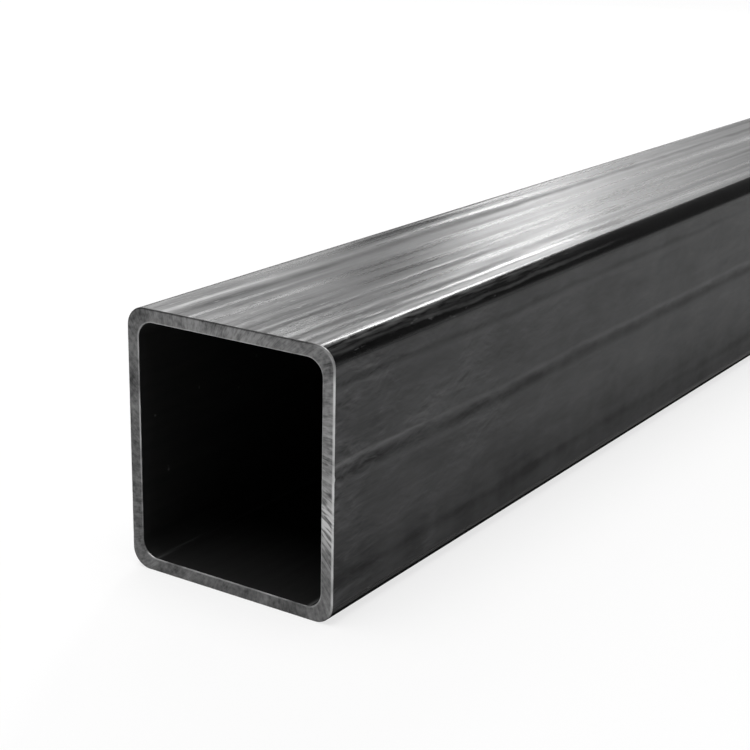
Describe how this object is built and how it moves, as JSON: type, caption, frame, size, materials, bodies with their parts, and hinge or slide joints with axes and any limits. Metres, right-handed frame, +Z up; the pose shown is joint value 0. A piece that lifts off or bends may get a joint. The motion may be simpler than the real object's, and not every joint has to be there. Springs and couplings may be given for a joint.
{
  "type": "rectangular steel tube",
  "caption": "Straight rectangular steel hollow section with rounded corners, a bore open at both square-sawn ends and a dark mill-scale finish, for frames and posts.",
  "frame": {"origin": "middle of the underside, on the floor half way along the tube", "axes": "+Z up, +Y along the tube away from the pictured sawn end, +X across the tube to the right of that end"},
  "size_m": [0.09, 1, 0.1],
  "materials": {
    "mill_scale": "dark satin mill scale, streaked along the length; bare grey saw-marked ends"
  },
  "bodies": {
    "root": {"tube": "mill_scale"}
  },
  "joints": []
}
